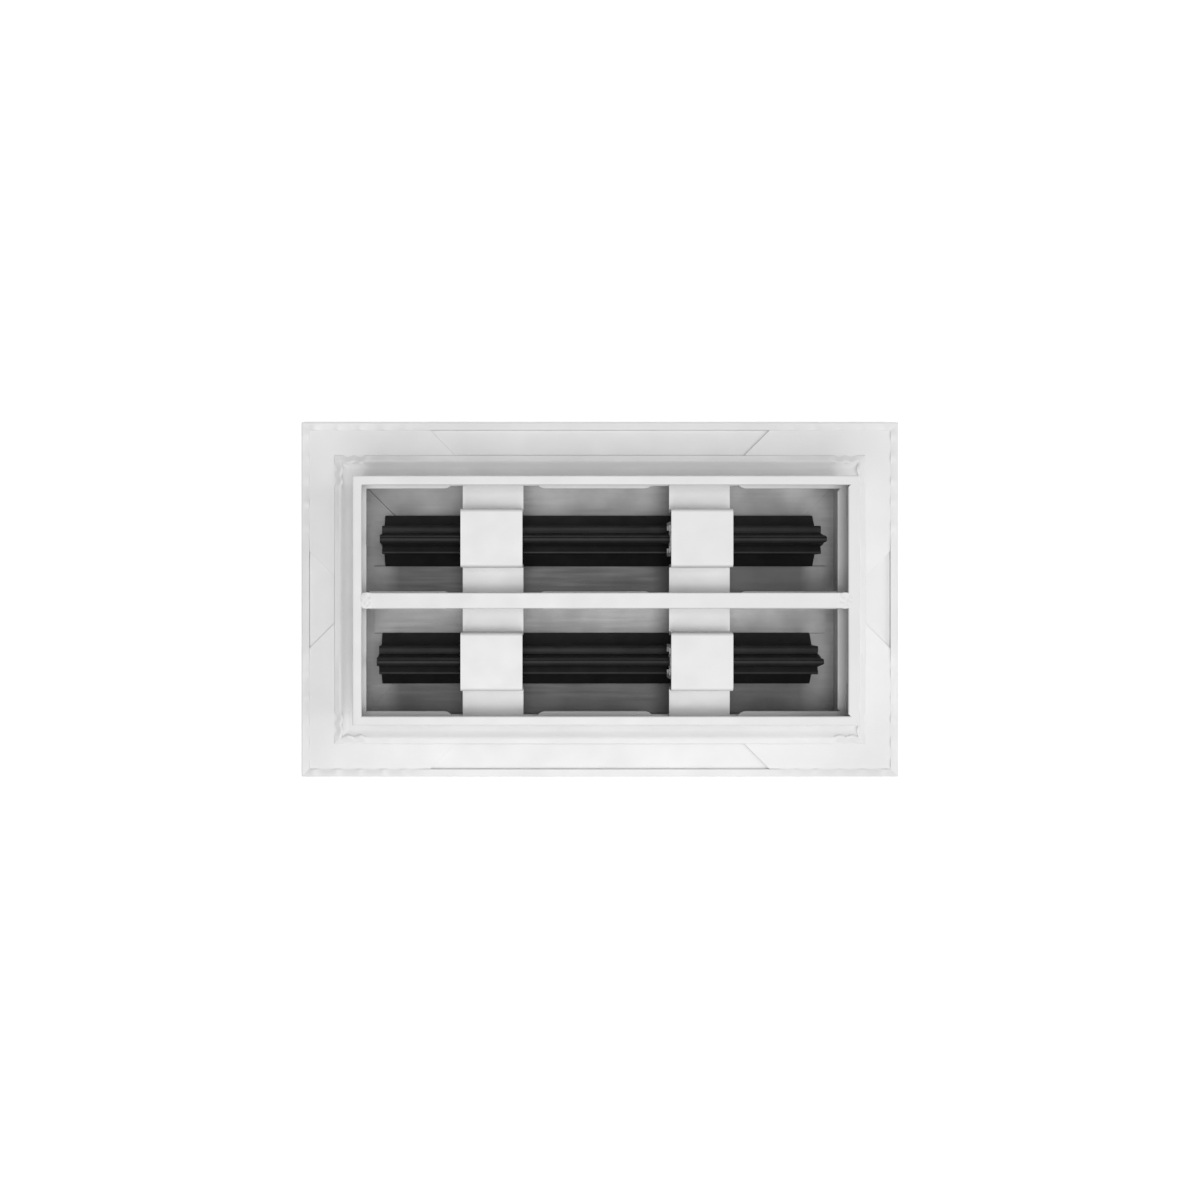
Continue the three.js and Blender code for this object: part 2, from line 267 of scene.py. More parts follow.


# Extruded aluminium under a thin grey coat, with light and shade painted into it. It gives the eye a dull
# grey satin:
# drawn streaks along the bar; painted light on each slot's +Y lips, painted shade on the -Y lips and by the
# blades, pale at the ends, and a little brighter towards +X.
def lip_coat_with_painted_shade(name):
    made, tree = new_material(name)
    place = add_node(tree, "ShaderNodeTexCoord").outputs["Object"]
    drawn = {"Vector": place, "Scale": (0.06, 1.0, 1.0)}
    drawn = add_node(tree, "ShaderNodeMapping", drawn).outputs["Vector"]
    streaks = mottled(tree, drawn, 1.6, 0.0, 1.0, detail=4.0)
    clouds = mottled(tree, place, 17.0, 0.0, 1.0)
    faint = add_node(tree, "ShaderNodeMath", {0: streaks, 1: 0.35}, operation="MULTIPLY").outputs[0]
    both = {0: clouds, 1: 0.65, 2: faint}
    both = add_node(tree, "ShaderNodeMath", both, operation="MULTIPLY_ADD").outputs[0]
    shares = lip_spans_with_painted_light(tree, place, streaks)
    tones = []
    # the grey in painted shade, the same grey painted lit for the +Y lips, and a paler grey for the ends
    for shade_low, shade_high in (("#535353", "#6a6a6a"), ("#777777", "#a0a0a0"), ("#8c8c8c", "#b3b3b3")):
        ends = {"Factor": both, 6: linear(shade_low), 7: linear(shade_high)}
        tones.append(add_node(tree, "ShaderNodeMix", ends, data_type="RGBA").outputs[2])
    colour, painted_lit_tone, pale = tones
    # paints light on the +Y lips and shade by the blades, then pales the ends and brightens towards +X
    for share, tone, value in (("painted_lit_side", painted_lit_tone, "painted_shade_near_blades"), ("at_end", pale, "brighter_towards_plus_x")):
        blend = {"Factor": shares[share], 6: colour, 7: tone}
        blend = add_node(tree, "ShaderNodeMix", blend, data_type="RGBA").outputs[2]
        level = {"Color": blend, "Value": shares[value]}
        colour = add_node(tree, "ShaderNodeHueSaturation", level).outputs["Color"]
    shader = finish_material(tree, colour, shares["gloss"], streaks, 0.25, 0.01)
    shader.inputs["Metallic"].default_value = 0.35
    return made


# Black satin coat on an extruded blade. It gives the eye a deep black with dull grey lines along it, where
# die lines and rounded edges catch the light; the sheen is low, so flat faces stay dark.
def black_coat(name, shade_low, shade_high, sheen):
    made, tree = new_material(name)
    place = add_node(tree, "ShaderNodeTexCoord").outputs["Object"]
    drawn = {"Vector": place, "Scale": (0.01, 1.0, 1.0)}
    drawn = add_node(tree, "ShaderNodeMapping", drawn).outputs["Vector"]
    lines = mottled(tree, drawn, 0.55, 0.0, 1.0, detail=3.0)
    colour = clouded_colour(tree, place, 6.0, shade_low, shade_high)
    gloss = {"Value": lines, "To Min": 0.42, "To Max": 0.54}
    gloss = add_node(tree, "ShaderNodeMapRange", gloss).outputs["Result"]
    shader = finish_material(tree, colour, gloss, lines, 0.3, 0.015)
    shader.inputs["Specular IOR Level"].default_value = sheen
    return made


# Pale seamless paper on a softly lit table. It gives the eye an even white ground without a horizon line
# near the part; the glow stands for the light that comes through the table.
def studio_paper(name):
    made, tree = new_material(name)
    place = add_node(tree, "ShaderNodeTexCoord").outputs["Object"]
    colour = clouded_colour(tree, place, 60.0, "#e6e6e6", "#eaeaea")
    shader = add_node(tree, "ShaderNodeBsdfPrincipled", {"Base Color": colour})
    shader.inputs["Roughness"].default_value = 0.9
    shader.inputs["Specular IOR Level"].default_value = 0.2
    shader.inputs["Emission Color"].default_value = (1.0, 1.0, 1.0, 1.0)
    shader.inputs["Emission Strength"].default_value = 0.36
    add_node(tree, "ShaderNodeOutputMaterial", {"Surface": shader.outputs["BSDF"]})
    return made


frame_coat = powder_coat("white_powder_coat_frame", "#d1d1d1", "#d6d6d6", 0.42)
key_coat = powder_coat("white_powder_coat_keys", "#d4d4d4", "#d9d9d9", 0.46)
holder_coat = powder_coat("white_powder_coat_holders", "#d1d1d1", "#d5d5d5", 0.40, 0.9, 0.006)
# the lips' grey coat, with painted light and painted shade in it
cavity_coat_with_painted_shade = lip_coat_with_painted_shade("grey_lip_coat_with_painted_light_and_shade")
blade_coats = {
    "bead": black_coat("black_satin_coat_upper_blades", "#262626", "#2e2e2e", 0.14),
    "socket": black_coat("black_satin_coat_lower_blades", "#181818", "#1f1f1f", 0.17),
}

# ---------------------------------------------------------------- shaping


def section_face(outline, x):
    """A face across a bar, its corners rounded by each point's radius."""
    bm = bmesh.new()
    corners = [bm.verts.new((x, across, up)) for across, up, _ in outline]
    bm.faces.new(corners)
    by_radius = {}
    for vert, (_, _, radius) in zip(corners, outline):
        by_radius.setdefault(radius, []).append(vert)
    for radius, verts in by_radius.items():
        if radius:
            bmesh.ops.bevel(
                bm, geom=verts, offset=radius, offset_type="OFFSET", segments=4, profile=0.5,
                affect="VERTICES", clamp_overlap=True, material=-1,
            )
    return bm


def bar_along_x(outline, stations):
    """A section run along X through each station, closed at both ends."""
    bm = section_face(outline, stations[0])
    end = next(iter(bm.faces))
    for here, there in zip(stations, stations[1:]):
        grown = bmesh.ops.extrude_face_region(bm, geom=[end, *end.edges])["geom"]
        pushed = [item for item in grown if isinstance(item, bmesh.types.BMVert)]
        bmesh.ops.translate(bm, verts=pushed, vec=(there - here, 0, 0))
        end = next(item for item in grown if isinstance(item, bmesh.types.BMFace))
    bmesh.ops.recalc_face_normals(bm, faces=bm.faces[:])
    return bm


def raise_faces(bm, height):
    """Makes a closed shape of a flat one by pushing its faces up or down."""
    grown = bmesh.ops.extrude_face_region(bm, geom=bm.faces[:])["geom"]
    pushed = [item for item in grown if isinstance(item, bmesh.types.BMVert)]
    bmesh.ops.translate(bm, verts=pushed, vec=(0, 0, height))
    bmesh.ops.recalc_face_normals(bm, faces=bm.faces[:])


def plate(points, bottom, top, radius=0.0, edge=CRISP_EDGE):
    """A flat plate with an outline in the X-Y plane, its upright corners rounded and its edges broken."""
    bm = bmesh.new()
    bm.faces.new([bm.verts.new((x, y, bottom)) for x, y in points])
    if radius:
        bmesh.ops.bevel(
            bm, geom=bm.verts[:], offset=radius, offset_type="OFFSET", segments=6, profile=0.5,
            affect="VERTICES", clamp_overlap=True, material=-1,
        )
    raise_faces(bm, top - bottom)
    if edge:
        break_edges(bm, edge)
    return bm


def break_edges(bm, width, above_degrees=40):
    """Bevels every edge sharper than the angle."""
    above = math.radians(above_degrees)
    sharp = [edge for edge in bm.edges if len(edge.link_faces) == 2 and edge.calc_face_angle(0) > above]
    bmesh.ops.bevel(
        bm, geom=sharp, offset=width, offset_type="OFFSET", segments=2, profile=0.5,
        affect="EDGES", clamp_overlap=True, material=-1,
    )


def slice_off(bm, point, outward):
    """Cuts away what lies beyond a plane and closes the cut."""
    cut = bmesh.ops.bisect_plane(
        bm, geom=bm.verts[:] + bm.edges[:] + bm.faces[:], dist=1e-4,
        plane_co=point, plane_no=outward, clear_outer=True,
    )["geom_cut"]
    bmesh.ops.holes_fill(bm, edges=[e for e in cut if isinstance(e, bmesh.types.BMEdge)], sides=0)


def turn(bm, degrees):
    around = Matrix.Rotation(math.radians(degrees), 3, "Z")
    bmesh.ops.rotate(bm, verts=bm.verts[:], cent=(0, 0, 0), matrix=around)


def shift(bm, x=0.0, y=0.0, z=0.0):
    bmesh.ops.translate(bm, verts=bm.verts[:], vec=(x, y, z))


def as_object(bm, name):
    mesh = bpy.data.meshes.new(name)
    bm.to_mesh(mesh)
    bm.free()
    made = bpy.data.objects.new(name, mesh)
    bpy.context.scene.collection.objects.link(made)
    return made


def combine(bm, other, operation):
    """The boolean of two closed shapes, as a new bmesh."""
    whole, tool = as_object(bm, "whole"), as_object(other, "tool")
    change = whole.modifiers.new("combine", "BOOLEAN")
    change.object, change.operation, change.solver = tool, operation, "EXACT"
    bpy.context.view_layer.update()
    result = bmesh.new()
    evaluated = whole.evaluated_get(bpy.context.evaluated_depsgraph_get())
    result.from_mesh(evaluated.to_mesh())
    evaluated.to_mesh_clear()
    for made in (whole, tool):
        mesh = made.data
        bpy.data.objects.remove(made)
        bpy.data.meshes.remove(mesh)
    return result


def finish_piece(bm, name, materials, body=HOUSING, node=None, pick=None, smooth_degrees=32):
    """Turns a bmesh in millimetres to a piece in metres that rides on its body and stands for its node."""
    bmesh.ops.remove_doubles(bm, verts=bm.verts[:], dist=1e-4)
    bmesh.ops.scale(bm, vec=(MM, MM, MM), verts=bm.verts[:])
    if pick:
        for face in bm.faces:
            face.material_index = pick(face.calc_center_median() / MM, face.normal)
    piece = as_object(bm, name)
    for material in materials:
        piece.data.materials.append(material)
    piece.data.shade_smooth()
    piece.data.set_sharp_from_angle(angle=math.radians(smooth_degrees))
    weighted = piece.modifiers.new("weighted", "WEIGHTED_NORMAL")
    weighted.keep_sharp = True
    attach(piece, body)
    if node:
        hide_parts(node)
    return piece


def bump(distance, half_width):
    """1 in the middle, falling smoothly to 0 at half_width."""
    share = min(abs(distance) / half_width, 1.0)
    return 0.5 + 0.5 * math.cos(math.pi * share)


# ---------------------------------------------------------------- frame sides


def side_section(lip_edge, ledge_reach, rim_reach):
    """Section of a frame side, measured inwards from its outer edge."""
    soft, crisp = SOFT_EDGE, CRISP_EDGE
    ledge_edge = WALL_INSIDE + ledge_reach
    return [
        (0, 0, 0.35),
        (lip_edge, 0, 0.35),
        (lip_edge, FACE_SHEET, soft),
        (WALL_INSIDE, FACE_SHEET, INSIDE_CORNER),
        (WALL_INSIDE, STEP_BOTTOM, crisp),
        (WALL_INSIDE + STEP_REACH, STEP_BOTTOM, crisp),
        (WALL_INSIDE + STEP_REACH, LEDGE_BOTTOM, crisp),
        (ledge_edge, LEDGE_BOTTOM, soft),
        (ledge_edge, LEDGE_TOP, 0.4),
        (WALL_INSIDE, LEDGE_TOP, 0.3),
        (WALL_INSIDE, RIM_BOTTOM, crisp),
        (FLANGE + rim_reach, RIM_BOTTOM, 0.5),
        (FLANGE + rim_reach, RIM_TOP, 0.6),
        (FLANGE, RIM_TOP, 0.5),
        (FLANGE, TROUGH, 0.8),
        (INNER_WALL + RAMP, TROUGH, 1.6),
        (INNER_WALL + INNER_HOOK_WALL / 2, EDGE_HEIGHT, 0.8),
        (CHANNEL_END, EDGE_HEIGHT, 0.3),
        (CHANNEL_END, HOOK_BOTTOM, crisp),
        (INNER_WALL, HOOK_BOTTOM, crisp),
        (INNER_WALL, CHANNEL_FLOOR, crisp),
        (EDGE_WALL, CHANNEL_FLOOR, crisp),
        (EDGE_WALL, HOOK_BOTTOM, crisp),
        (OUTER_HOOK, HOOK_BOTTOM, crisp),
        (OUTER_HOOK, EDGE_HEIGHT, 0.3),
        (OUTER_HOOK / 2, EDGE_HEIGHT, 0),
        (0, EDGE_HEIGHT, 0.4),
    ]


def side_stations(length):
    """Places along a side, close together where its hooks are crimped over the keys."""
    near = [length / 2 - i for i in range(KEYED_LENGTH + 1)]
    return sorted([-x for x in near] + near)


def crimp_lifts():
    """Where a hook's free edge stands off its key: place from the corner, height and half width."""
    lifts = {"outer": [], "inner": []}
    for hook, places in (("outer", OUTER_LIFTS), ("inner", INNER_LIFTS)):
        for place in places:
            height = (LIFT[hook] - LIFT_FADE * place) * random.uniform(0.75, 1.1)
            lifts[hook].append((place + random.uniform(-0.8, 0.8), height, random.uniform(2.2, 3.4)))
    return lifts


def crimp(bm, length, width):
    """Presses the hooks' free edges onto the keys, but for the lifts, and swells the inner hook."""
    lifts = crimp_lifts()
    for vert in bm.verts:
        inward = vert.co.y + width / 2
        from_corner = length / 2 - abs(vert.co.x)
        if vert.co.z < HOOK_BOTTOM - 0.1 or vert.co.z > EDGE_HEIGHT + 0.1:
            continue
        if inward < OUTER_HOOK + 0.1:
            hook, from_edge = "outer", OUTER_HOOK - inward
        elif CHANNEL_END - 0.1 < inward < INNER_WALL + INNER_HOOK_WALL + 0.1:
            hook, from_edge = "inner", inward - CHANNEL_END
            swell = sum(bump(from_corner - place, HUMP_HALF_LENGTH) for place in CORNER_HUMPS)
            vert.co.y += HUMP_SWELL * swell
            vert.co.z += HUMP_RISE * swell
        else:
            continue
        keyed = min(1.0, max(0.0, (PRESSED_LENGTH - from_corner) / PRESS_FADE))
        lift = max(height * bump(from_corner - place, half) for place, height, half in lifts[hook])
        pressed = (CLOSED_BY[hook] - lift) * keyed
        if from_edge < HOOK_ROUNDING:
            droop = min(1.0, max(0.0, (from_corner - DROOP_FROM) / (DROOP_TO - DROOP_FROM)))
            bottom = KEY_TOP + KEY_PLAY - (KEY_TOP - CHANNEL_FLOOR) * droop
            share = min(1.0, (vert.co.z - HOOK_BOTTOM) / HOOK_THICK)
            vert.co.z = bottom + share * (EDGE_HEIGHT - pressed - bottom)
        elif vert.co.z > HOOK_BOTTOM + HOOK_THICK / 2:
            vert.co.z -= pressed * max(0.0, 1 - from_edge / HOOK_FLEX) ** 1.5


def notch_cutter(x, y, away, reach):
    """What is milled off a ledge round a holder, from a wall at y towards +Y or -Y, with rounded corners."""
    half = NOTCH_WIDTH / 2
    sweep = math.acos((LEDGE_CORNER - reach) / LEDGE_CORNER)
    corner = []
    for i in range(NOTCH_STEPS + 1):
        angle = sweep * i / NOTCH_STEPS
        across = half + LEDGE_CORNER * (1 - math.sin(angle))
        corner.append((across, reach - LEDGE_CORNER * (1 - math.cos(angle))))
    points = [(half + LEDGE_CORNER, reach + NOTCH_OVERCUT)] + corner
    points += [(-across, up) for across, up in reversed(points)]
    placed = [(x + across, y + away * up) for across, up in points]
    return plate(placed, NOTCH_FLOOR, LEDGE_TOP + NOTCH_OVERCUT, edge=0)


def slot_lips(centre, normal):
    """Material index: 1 for the lips' upper faces, deep inside the neck, which take the grey coat with its
    painted light and shade.
    """
    within_length = abs(centre.x) < FACE_LENGTH / 2 - WALL_INSIDE + INSIDE_CORNER
    within_width = abs(centre.y) < FACE_WIDTH / 2 - WALL_INSIDE + INSIDE_CORNER
    faces_up = FACE_SHEET / 2 < centre.z < EDGE_HEIGHT and normal.z > 0.3
    return 1 if within_length and within_width and faces_up else 0


def open_mitre(bm, corner, outward, width, groove):
    """Pulls the lip's top edge back from the mitre, which leaves a fine groove along the joint."""
    for vert in bm.verts:
        on_cut = abs((vert.co - corner).dot(outward)) < 1e-3
        if on_cut and vert.co.y + width / 2 > WALL_INSIDE + 0.3 and abs(vert.co.z - FACE_SHEET) < 0.1:
            vert.co -= outward * groove


def holder_middle(slot, end):
    low, high = box_mm(f"holder_{slot}_{end}")
    return (low + high) / 2


def notch_places(side):
    """Where the holders' notches lie along a side, in the side's own direction."""
    if side not in SLOTS:
        return []
    along = 1 if side == "front" else -1
    return [along * (holder_middle(side, end).x + NOTCH_OFFSETS[end]) for end in ENDS]


def frame_side(side):
    """A mitred length of the extrusion, drawn along the front edge and turned to its own."""
    degrees, ledge_reach, rim_reach, open_end = FRAME_SIDES[side]
    length, width = (FACE_LENGTH, FACE_WIDTH) if side in SLOTS else (FACE_WIDTH, FACE_LENGTH)
    lip_edge = box_mm("frame_front")[1].y + FACE_WIDTH / 2
    section = side_section(lip_edge, ledge_reach, rim_reach)
    outline = [(inward - width / 2, up, radius) for inward, up, radius in section]
    bm = bar_along_x(outline, side_stations(length))
    crimp(bm, length, width)
    for x in notch_places(side):
        bm = combine(bm, notch_cutter(x, WALL_INSIDE - width / 2, 1, ledge_reach), "DIFFERENCE")
    for end in (-1, 1):
        corner, outward = Vector((end * length / 2, -width / 2, 0)), Vector((end, 1, 0)).normalized()
        slice_off(bm, corner, outward)
        open_mitre(bm, corner, outward, width, OPEN_MITRE if end == open_end else CLOSE_MITRE)
    turn(bm, degrees)
    return finish_piece(
        bm, f"frame_{side}_extrusion", [frame_coat, cavity_coat_with_painted_shade], node=f"frame_{side}",
        pick=slot_lips,
    )


for side_name in FRAME_SIDES:
    frame_side(side_name)

# ---------------------------------------------------------------- divider bar


def divider_section():
    low, high = box_mm("divider_bar")
    lip = high.y
    web = WEB_THICK / 2
    half = [
        (lip, low.z, SOFT_EDGE),
        (lip, low.z + FACE_SHEET, 0.35),
        (web, low.z + FACE_SHEET, 0.3),
        (web, STEP_BOTTOM, CRISP_EDGE),
        (web + STEP_REACH, STEP_BOTTOM, CRISP_EDGE),
        (web + STEP_REACH, LEDGE_BOTTOM, CRISP_EDGE),
        (web + DIVIDER_LEDGE_REACH, LEDGE_BOTTOM, SOFT_EDGE),
        (web + DIVIDER_LEDGE_REACH, LEDGE_TOP, 0.4),
        (web, LEDGE_TOP, 0.3),
        (web, RIM_BOTTOM, CRISP_EDGE),
        (BAR_WIDTH / 2, RIM_BOTTOM, SOFT_EDGE),
        (BAR_WIDTH / 2, RIM_TOP, BAR_EDGE),
    ]
    return half + [(-across, up, radius) for across, up, radius in reversed(half)]


def divider():
    low, high = box_mm("divider_bar")
    bm = bar_along_x(divider_section(), [-DIVIDER_LEDGE_END, DIVIDER_LEDGE_END])
    cap_outline = [
        (-BAR_WIDTH / 2, RIM_BOTTOM, SOFT_EDGE),
        (-BAR_WIDTH / 2, RIM_TOP, BAR_EDGE),
        (BAR_WIDTH / 2, RIM_TOP, BAR_EDGE),
        (BAR_WIDTH / 2, RIM_BOTTOM, SOFT_EDGE),
    ]
    bm = combine(bm, bar_along_x(cap_outline, [low.x, high.x]), "UNION")
    for end in ENDS:
        x = holder_middle("front", end).x + NOTCH_OFFSETS[end]
        for away in (-1, 1):
            cutter = notch_cutter(x, away * WEB_THICK / 2, away, DIVIDER_LEDGE_REACH)
            bm = combine(bm, cutter, "DIFFERENCE")
    return finish_piece(
        bm, "divider_extrusion", [frame_coat, cavity_coat_with_painted_shade], node="divider_bar",
        pick=slot_lips,
    )


divider()


def weld(end):
    """A weld between the bar and the rim, ground nearly flat: a low lumpy patch over the joint."""
    side = -1 if end == "left" else 1
    bm = bmesh.new()
    bmesh.ops.create_circle(bm, cap_ends=True, segments=40, radius=1.0)
    bmesh.ops.inset_individual(bm, faces=bm.faces[:], thickness=WELD_BORDER)
    for _ in range(WELD_RINGS):
        core = max(bm.faces, key=lambda face: face.calc_area())
        bmesh.ops.inset_individual(bm, faces=[core], thickness=WELD_RING)
    bmesh.ops.scale(bm, vec=(WELD_LENGTH / 2, WELD_WIDTH / 2, 1), verts=bm.verts[:])
    for vert in bm.verts:
        from_middle = math.hypot(vert.co.x / (WELD_LENGTH / 2), vert.co.y / (WELD_WIDTH / 2))
        lump = noise.noise(Vector((vert.co.x * 0.9, vert.co.y * 0.9, side * 7.3)))
        vert.co.x *= 1 + 0.12 * noise.noise(Vector((vert.co.y, side * 3.1, 0.4)))
        fullness = (1 - from_middle**4) * min(1.0, max(0.1, 0.5 + 1.5 * lump))
        vert.co.z = WELD_RISE * fullness - WELD_SINK
    shift(bm, side * WELD_PLACE, 0, RIM_TOP)
    raise_faces(bm, -WELD_DEPTH)
    return finish_piece(
        bm, f"divider_weld_{end}", [frame_coat], smooth_degrees=60
    )


for end_name in ENDS:
    weld(end_name)

# ---------------------------------------------------------------- corner keys

KEY_CLEARANCE = 0.2
KEY_CORNER = 0.6
KEY_EDGE = 0.4
NECK_KEY_CLEARANCE = 0.05
NECK_KEY_THICK = 0.5


def to_corner(points, along_x, along_y):
    """Points measured inwards from the frame's corner, at the corner that the signs name."""
    return [(along_x * (FACE_LENGTH / 2 - x), along_y * (FACE_WIDTH / 2 - y)) for x, y in points]


def flange_key(node, along_x, along_y):
    """Flat L plate with 45 degree ends, its corner towards the frame's corner."""
    low, high = box_mm(node)
    near = EDGE_WALL + KEY_CLEARANCE
    far = INNER_WALL - KEY_CLEARANCE
    leg = high.x - low.x - (far - near)
    points = [(near, near), (near + leg, near), (far + leg, far)]
    points += [(far, far), (far, far + leg), (near, near + leg)]
    placed = to_corner(points, along_x, along_y)
    bm = plate(placed, CHANNEL_FLOOR + KEY_PLAY, KEY_TOP, radius=KEY_CORNER, edge=KEY_EDGE)
    return finish_piece(bm, f"{node}_plate", [key_coat], node=node)


def neck_key(node, along_x, along_y):
    """Upright L strip hidden in the groove under the rim."""
    low, high = box_mm(node)
    near = WALL_INSIDE + NECK_KEY_CLEARANCE
    far = near + NECK_KEY_THICK
    end = near + high.x - low.x
    points = [(near, near), (end, near), (end, far), (far, far), (far, end), (near, end)]
    bm = plate(to_corner(points, along_x, along_y), low.z, high.z)
    return finish_piece(bm, f"{node}_angle", [key_coat], node=node)


for slot_name, along_y in (("front", -1), ("rear", 1)):
    for end_name, along_x in (("left", -1), ("right", 1)):
        flange_key(f"flange_key_{slot_name}_{end_name}", along_x, along_y)
        neck_key(f"neck_key_{slot_name}_{end_name}", along_x, along_y)

# ---------------------------------------------------------------- holders

HOLDER_SHEET = 1.2
BLOCK_WIDTH = 23.2
BLOCK_SHIFT = 0.25
BLOCK_WALL = (BLOCK_WIDTH - HOLDER_SHEET) / 2      # the middle of a block's wall, from the block's middle
ARM_SHIFT = 0.6
LEAN_REACH = 0.8      # takes in both faces of a block's wall
ARM_GAP = 0.3         # between an arm and the floor of its notch
SIDE_TRIM = 0.15
HOLDER_SHIFTS = {"left": 0.0, "right": -0.35}
LEG_SPREAD = 12.4
FOOT_REACH = 2.0
CLAW_THICK = 1.0
CLAW_OPENING = 90
SOCKET_OUTSIDE = 1.75
CLAW_INSIDE = SOCKET_OUTSIDE + 0.3


def sheet_section(path, thickness, inner_radius):
    """Section of a bent sheet: each bend has an inner and an outer radius, each end is crisp."""
    points = [Vector(p) for p in path]
    left, right = [], []
    for i, point in enumerate(points):
        before = (point - points[i - 1]).normalized() if i else None
        after = (points[i + 1] - point).normalized() if i < len(points) - 1 else None
        along = ((before or after) + (after or before)).normalized()
        across = Vector((-along.y, along.x))
        reach = thickness / 2 / abs(along.dot(after or before))
        turning = before.cross(after) if before and after else 0.0
        outer, inner = inner_radius + thickness * 0.9, inner_radius
        radius = (inner, outer) if turning > 0 else (outer, inner)
        if not turning:
            radius = (CRISP_EDGE, CRISP_EDGE)
        left.append((*(point + across * reach), radius[0]))
        right.append((*(point - across * reach), radius[1]))
    return left + right[::-1]


def arc(radius, start, stop, steps=72):
    """Points on an arc about the origin, its angles from straight down towards +Y; radius is called
    with the angle."""
    points = []
    for i in range(steps + 1):
        angle = start + (stop - start) * i / steps
        turned = math.radians(angle)
        points.append((radius(angle) * math.sin(turned), -radius(angle) * math.cos(turned), 0.0))
    return points


def ring_section(inside, outside, from_degrees, to_degrees):
    """Part of a ring about the origin, its outside given as a call of the angle."""
    return arc(outside, from_degrees, to_degrees) + arc(lambda a: inside, to_degrees, from_degrees)


def moved(outline, across, up):
    return [(a + across, u + up, radius) for a, u, radius in outline]


def hinge_line(slot):
    """Y and height of the line that a slot's blades turn on."""
    joint = next(j for j in frame["joints"] if j["name"] == f"bead_blade_{slot}_swing")
    return joint["pos_m"][1] / MM, joint["pos_m"][2] / MM


def hat_section(low, high, middle, arm, top):
    """The bent sheet across a slot: an arm on either side of a raised block."""
    left, right = middle + BLOCK_SHIFT - BLOCK_WALL, middle + BLOCK_SHIFT + BLOCK_WALL
    path = [(low.y, arm), (left, arm), (left, top), (right, top), (right, arm), (high.y, arm)]
    return sheet_section(path, HOLDER_SHEET, 0.35)


def lean_arms(bm, middle, arm, top):
    """Moves the arms a little aside of the block, with the walls leaning over to them."""
    for vert in bm.verts:
        if abs(vert.co.y - middle - BLOCK_SHIFT) > BLOCK_WALL - LEAN_REACH:
            vert.co.x += ARM_SHIFT * min(1.0, max(0.0, (top - vert.co.z) / (top - arm)))


def holder(slot, end):
    """A hat-shaped clip with a claw round the hinge line, and a foot on either side of it."""
    node = f"holder_{slot}_{end}"
    low, high = box_mm(node)
    middle, hinge = hinge_line(slot)
    arm = NOTCH_FLOOR + ARM_GAP + HOLDER_SHEET / 2
    top = high.z - HOLDER_SHEET / 2
    foot = low.z + HOLDER_SHEET / 2
    leg = LEG_SPREAD / 2
    ends = [low.x + SIDE_TRIM + HOLDER_SHIFTS[end], high.x - SIDE_TRIM + HOLDER_SHIFTS[end]]
    bm = bar_along_x(hat_section(low, high, middle, arm, top), ends)
    lean_arms(bm, middle, arm, top)
    claw_outside = CLAW_INSIDE + CLAW_THICK
    opening = CLAW_OPENING / 2
    ring = ring_section(CLAW_INSIDE, lambda a: claw_outside, opening, 360 - opening)
    bm = combine(bm, bar_along_x(moved(ring, middle, hinge), ends), "UNION")
    for side in (-1, 1):
        inner = side * (leg - HOLDER_SHEET / 2 - FOOT_REACH)
        footed = sheet_section([(side * leg, top), (side * leg, foot), (inner, foot)], HOLDER_SHEET, 0.3)
        brace_path = [(side * leg, hinge), (side * (CLAW_INSIDE + CLAW_THICK / 2), hinge)]
        brace = sheet_section(brace_path, CLAW_THICK, 0.2)
        bm = combine(bm, bar_along_x(moved(footed, middle, 0), ends), "UNION")
        bm = combine(bm, bar_along_x(moved(brace, middle, 0), ends), "UNION")
    return finish_piece(bm, f"{node}_clip", [holder_coat], node=node)


for slot_name in SLOTS:
    for end_name in ENDS:
        holder(slot_name, end_name)

# ---------------------------------------------------------------- deflector blades

BLADE_THICK = 1.1
NECK_THICK = 0.8
BEAD_RADIUS = 0.85
SOCKET_INSIDE = 1.1
SOCKET_FROM = 76
SOCKET_TO = 348
SOCKET_OVERLAP = 0.22
SWING_PLAY = 0.12
SWING_ANGLE = math.radians(11)
SWING_SLOPE = math.tan(SWING_ANGLE)
SHOULDER_GAP = 0.3    # between a shoulder and the holders' feet
SHOULDER_REACH = 5.2
SHOULDER_FALL = {"bead": 0.0, "socket": 1.4}
SHOULDER_GROOVE = 2.95
GROOVE_SIZE = (0.6, 0.9)
SHOULDER_RIB = 2.36
RIB_SIZE = (0.36, 0.8)
RIB_SINK = 0.8
WEB_HEIGHT = 11.15
WING_RISE = 4.3

# what is cut off the blades' right-hand tips, measured from the blade's end and the slot's middle
TIP_LENGTH = 2.2
TIP_START = 0.3
TIP_STOP = 2.2
TIP_REACH = 4.0


def neck_offset(depth):
    """How far a neck's middle stands off the slot's middle plane at a depth below the hinge line."""
    return SWING_PLAY + NECK_THICK / 2 / math.cos(SWING_ANGLE) + SWING_SLOPE * depth


def socket_outside(angle):
    """Outer radius of a socket: a die groove beside its crest, and a fuller lip beyond the groove."""
    return SOCKET_OUTSIDE - 0.42 * bump(angle - 154.5, 9) + 0.2 * bump(angle - 134, 16)


def small_bar(across, up, width, height):
    """A rectangular section for a rib or a groove, centred on a point."""
    half, rise = width / 2, height / 2
    corners = [(-half, -rise), (half, -rise), (half, rise), (-half, rise)]
    return [(across + a, up + u, width / 5) for a, u in corners]


def wing_section(kind, side, shoulder, tip):
    """A blade below its neck: the shoulder, the upright web and the wing out to its tip."""
    neck_foot = neck_offset(BLADE_THICK / 2 - shoulder) - NECK_THICK / 2
    path = [
        (side * neck_foot, shoulder - SHOULDER_FALL[kind]),
        (side * SHOULDER_REACH, shoulder),
        (side * SHOULDER_REACH, shoulder - WEB_HEIGHT),
        (side * tip[0], tip[1]),
    ]
    return sheet_section(path, BLADE_THICK, 0.15)


